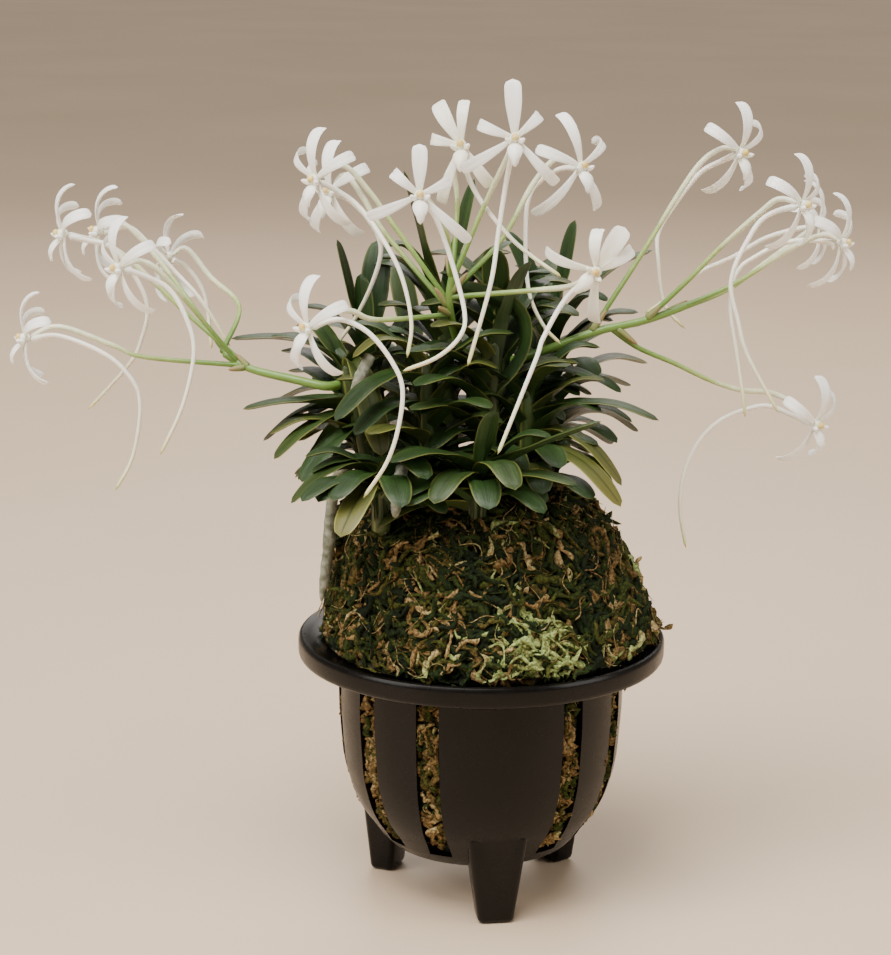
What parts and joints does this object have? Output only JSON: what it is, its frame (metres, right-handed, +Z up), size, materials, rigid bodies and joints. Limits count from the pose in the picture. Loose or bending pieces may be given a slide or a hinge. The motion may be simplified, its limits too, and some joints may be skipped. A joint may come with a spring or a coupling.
{
  "type": "wind orchid",
  "caption": "A wind orchid in bloom: fans of strap leaves and white long-spurred flowers on arching spikes, growing in a mound of moss in a slotted black plastic pot on three legs.",
  "frame": {"origin": "centre of the bounding box in plan, at the level that the pot's three feet stand on", "axes": "+Z up; +X to the right as the plant is seen from its front; -Y towards the viewer at the front"},
  "size_m": [0.2355, 0.121, 0.2306],
  "materials": {
    "pot_black": "satin black moulded plastic",
    "moss_green": "matted dry and green moss, dull",
    "leaf_green": "smooth thick leaf with a soft sheen",
    "spike_green": "smooth fresh stalk",
    "petal_white": "soft white petal, slightly waxy",
    "root_silver": "dull silver-grey root skin"
  },
  "bodies": {
    "root": {"bloom_centre_1": "petal_white", "bloom_centre_2": "petal_white", "bloom_centre_3": "petal_white", "bloom_centre_4": "petal_white", "bloom_centre_5": "petal_white", "bloom_centre_6": "petal_white", "bloom_centre_7": "petal_white", "bloom_centre_8": "petal_white", "bloom_left_1": "petal_white", "bloom_left_2": "petal_white", "bloom_left_3": "petal_white", "bloom_left_4": "petal_white", "bloom_left_5": "petal_white", "bloom_right_1": "petal_white", "bloom_right_2": "petal_white", "bloom_right_3": "petal_white", "bloom_right_4": "petal_white", "bloom_right_5": "petal_white", "moss": "moss_green", "pot": "pot_black", "root_front": "root_silver", "root_left": "root_silver", "root_upper": "root_silver", "shoot_back": "leaf_green", "shoot_centre": "leaf_green", "shoot_front": "leaf_green", "shoot_left": "leaf_green", "shoot_left_back": "leaf_green", "shoot_left_front": "leaf_green", "shoot_left_low": "leaf_green", "shoot_rear_left": "leaf_green", "shoot_rear_right": "leaf_green", "shoot_right": "leaf_green", "shoot_right_back": "leaf_green", "shoot_right_far": "leaf_green", "spike_centre": "spike_green", "spike_left": "spike_green", "spike_right": "spike_green"}
  },
  "joints": []
}
